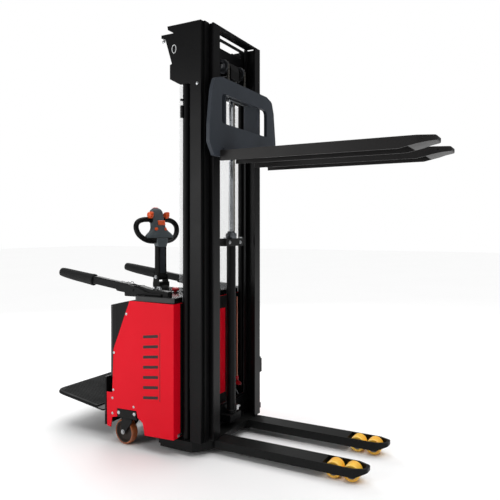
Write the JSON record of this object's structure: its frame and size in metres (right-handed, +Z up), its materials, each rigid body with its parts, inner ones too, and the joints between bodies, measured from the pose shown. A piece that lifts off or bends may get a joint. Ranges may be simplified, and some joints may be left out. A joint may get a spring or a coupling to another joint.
{
  "type": "walkie stacker",
  "caption": "Electric pallet stacker with a telescopic mast on straddle legs, raised hollow forks, red body, steering tiller, fold-up platform and side arms.",
  "frame": {"origin": "on the floor, under the middle of the footprint (between fork tips and platform edge, and between the sides)", "axes": "+X along the forks away from the operator, +Y to the operator's left when facing the forks, +Z up"},
  "size_m": [2.2544, 0.78, 2.305],
  "materials": {
    "frame_paint": "satin black powder coat",
    "mast_paint": "satin black paint",
    "carriage_paint": "satin blue-grey black paint",
    "fork_paint": "satin warm dark grey paint",
    "body_red": "gloss red paint",
    "black_plastic": "fine-textured black",
    "gloss_cover": "gloss black",
    "tiller_plastic": "grey-green moulded plastic",
    "orange_plastic": "satin orange",
    "red_plastic": "red",
    "amber_tyre": "cast amber polyurethane",
    "caramel_tyre": "cast brown polyurethane",
    "rubber": "matt black",
    "chrome": "hard chrome",
    "chain_steel": "oiled leaf chain",
    "steel": "dark machined",
    "clear_guard": "clear sheet",
    "battery_case": "moulded case"
  },
  "bodies": {
    "chassis": {"base_frame": "frame_paint", "leg_left": "frame_paint", "leg_right": "frame_paint", "outer_rail_left": "mast_paint", "outer_rail_right": "mast_paint", "outer_crossbeam": "mast_paint", "mast_guard": "clear_guard", "side_cylinder_left": "mast_paint", "side_cylinder_right": "mast_paint", "side_panel_left": "body_red", "side_panel_right": "body_red", "rear_cover": "black_plastic", "top_cover": "gloss_cover", "battery": "battery_case", "power_unit": "steel", "arm_support": "frame_paint"},
    "mid_mast": {"mid_rail_left": "mast_paint", "mid_rail_right": "mast_paint", "mid_crossbeam": "mast_paint", "mid_foot_beam": "mast_paint", "side_rod_left": "chrome", "side_rod_right": "chrome"},
    "inner_mast": {"inner_rail_left": "mast_paint", "inner_rail_right": "mast_paint", "inner_top_beam": "mast_paint", "inner_foot_beam": "mast_paint", "free_lift_cylinder": "mast_paint", "lift_chains_rear": "chain_steel"},
    "crosshead": {"crosshead": "chrome", "lift_chains_front": "chain_steel"},
    "sheave_left": {"sheave_left": "steel"},
    "sheave_right": {"sheave_right": "steel"},
    "carriage": {"carriage_plate": "carriage_paint", "carriage_frame": "carriage_paint", "fork_left": "fork_paint", "fork_right": "fork_paint"},
    "drive_head": {"drive_unit": "steel", "tiller_foot": "frame_paint"},
    "drive_wheel": {"drive_wheel": "rubber"},
    "tiller": {"tiller_shaft": "black_plastic", "tiller_head": "tiller_plastic"},
    "thumb_wheel": {"thumb_wheel": "orange_plastic"},
    "lift_rocker": {"lift_rocker": "orange_plastic"},
    "horn_button": {"horn_button": "orange_plastic"},
    "belly_button": {"belly_button": "red_plastic"},
    "estop_button": {"estop_button": "red_plastic"},
    "platform": {"platform": "frame_paint", "platform_mat": "rubber"},
    "arm_left": {"arm_left": "frame_paint", "grip_left": "rubber"},
    "caster_fork_left": {"caster_fork_left": "frame_paint"},
    "caster_wheel_left": {"caster_wheel_left": "caramel_tyre"},
    "load_roller_left_rear": {"load_roller_left_rear": "amber_tyre"},
    "load_roller_left_front": {"load_roller_left_front": "amber_tyre"},
    "arm_right": {"arm_right": "frame_paint", "grip_right": "rubber"},
    "caster_fork_right": {"caster_fork_right": "frame_paint"},
    "caster_wheel_right": {"caster_wheel_right": "caramel_tyre"},
    "load_roller_right_rear": {"load_roller_right_rear": "amber_tyre"},
    "load_roller_right_front": {"load_roller_right_front": "amber_tyre"}
  },
  "joints": [
    {"name": "mid_lift", "type": "slide", "parent": "chassis", "child": "mid_mast", "axis": [0, 0, 1], "range_m": [0, 1.8]},
    {"name": "inner_lift", "type": "slide", "parent": "mid_mast", "child": "inner_mast", "axis": [0, 0, 1], "range_m": [0, 1.8]},
    {"name": "free_lift", "type": "slide", "parent": "inner_mast", "child": "crosshead", "axis": [0, 0, 1], "range_m": [-0.764, 0], "deforming": ["lift_chains_rear"]},
    {"name": "carriage_lift", "type": "slide", "parent": "crosshead", "child": "carriage", "axis": [0, 0, 1], "range_m": [-0.764, 0], "deforming": ["lift_chains_front"]},
    {"name": "sheave_spin_left", "type": "hinge", "parent": "crosshead", "child": "sheave_left", "pos_m": [-0.0625, 0.092, 2.12], "axis": [0, 1, 0], "range_deg": [-5, 1256]},
    {"name": "sheave_spin_right", "type": "hinge", "parent": "crosshead", "child": "sheave_right", "pos_m": [-0.0625, -0.092, 2.12], "axis": [0, 1, 0], "range_deg": [-5, 1256]},
    {"name": "roller_spin_left_rear", "type": "hinge", "parent": "chassis", "child": "load_roller_left_rear", "pos_m": [0.6355, 0.186, 0.041], "axis": [0, 1, 0], "continuous": true},
    {"name": "roller_spin_left_front", "type": "hinge", "parent": "chassis", "child": "load_roller_left_front", "pos_m": [0.7255, 0.186, 0.041], "axis": [0, 1, 0], "continuous": true},
    {"name": "caster_swivel_left", "type": "hinge", "parent": "chassis", "child": "caster_fork_left", "pos_m": [-0.5045, 0.345, 0.15], "axis": [0, 0, 1], "continuous": true},
    {"name": "caster_spin_left", "type": "hinge", "parent": "caster_fork_left", "child": "caster_wheel_left", "pos_m": [-0.54627, 0.34939, 0.07], "axis": [0.1045, 0.9945, 0], "continuous": true},
    {"name": "roller_spin_right_rear", "type": "hinge", "parent": "chassis", "child": "load_roller_right_rear", "pos_m": [0.6355, -0.186, 0.041], "axis": [0, 1, 0], "continuous": true},
    {"name": "roller_spin_right_front", "type": "hinge", "parent": "chassis", "child": "load_roller_right_front", "pos_m": [0.7255, -0.186, 0.041], "axis": [0, 1, 0], "continuous": true},
    {"name": "caster_swivel_right", "type": "hinge", "parent": "chassis", "child": "caster_fork_right", "pos_m": [-0.5045, -0.345, 0.15], "axis": [0, 0, 1], "continuous": true},
    {"name": "caster_spin_right", "type": "hinge", "parent": "caster_fork_right", "child": "caster_wheel_right", "pos_m": [-0.54627, -0.34061, 0.07], "axis": [0.1045, 0.9945, 0], "continuous": true},
    {"name": "steer", "type": "hinge", "parent": "chassis", "child": "drive_head", "pos_m": [-0.5595, 0, 0.234], "axis": [0, 0, 1], "range_deg": [-78, 102]},
    {"name": "drive_spin", "type": "hinge", "parent": "drive_head", "child": "drive_wheel", "pos_m": [-0.5595, 0, 0.092], "axis": [0.2079, 0.9781, 0], "continuous": true},
    {"name": "tiller_tilt", "type": "hinge", "parent": "drive_head", "child": "tiller", "pos_m": [-0.57026, 0.00229, 0.913], "axis": [0.2079, 0.9781, 0], "range_deg": [-75, 0], "stiffness_Nm_per_rad": 40, "springref_deg": 20.05},
    {"name": "thumb_twist", "type": "hinge", "parent": "tiller", "child": "thumb_wheel", "pos_m": [-0.59123, 0.00675, 1.29322], "axis": [0.2079, 0.9781, 0], "range_deg": [-30, 30], "stiffness_Nm_per_rad": 0.4},
    {"name": "lift_rock", "type": "hinge", "parent": "tiller", "child": "lift_rocker", "pos_m": [-0.57495, 0.01453, 1.24514], "axis": [0.2079, 0.9781, 0], "range_deg": [-6, 6], "stiffness_Nm_per_rad": 0.3},
    {"name": "horn_press", "type": "slide", "parent": "tiller", "child": "horn_button", "axis": [-0.9568, 0.2034, -0.2079], "range_m": [0, 0.003], "stiffness_N_per_m": 300},
    {"name": "belly_press", "type": "slide", "parent": "tiller", "child": "belly_button", "axis": [0.2034, -0.0432, -0.9781], "range_m": [0, 0.005], "stiffness_N_per_m": 300},
    {"name": "estop_press", "type": "slide", "parent": "chassis", "child": "estop_button", "axis": [0, 0, -1], "range_m": [0, 0.006], "stiffness_N_per_m": 600},
    {"name": "platform_fold", "type": "hinge", "parent": "chassis", "child": "platform", "pos_m": [-0.7045, 0, 0.138], "axis": [0, 1, 0], "range_deg": [-8, 78]},
    {"name": "arm_fold_left", "type": "hinge", "parent": "chassis", "child": "arm_left", "pos_m": [-0.5145, 0.297, 0.864], "axis": [0, 1, 0], "range_deg": [0, 80]},
    {"name": "arm_fold_right", "type": "hinge", "parent": "chassis", "child": "arm_right", "pos_m": [-0.5145, -0.297, 0.864], "axis": [0, 1, 0], "range_deg": [0, 80]}
  ],
  "couplings": [
    {"joint": "inner_lift", "follows": "mid_lift", "ratio": 1},
    {"joint": "carriage_lift", "follows": "free_lift", "ratio": 1},
    {"joint": "sheave_spin_left", "follows": "free_lift", "rad_per_m": -28.571},
    {"joint": "sheave_spin_right", "follows": "free_lift", "rad_per_m": -28.571}
  ]
}
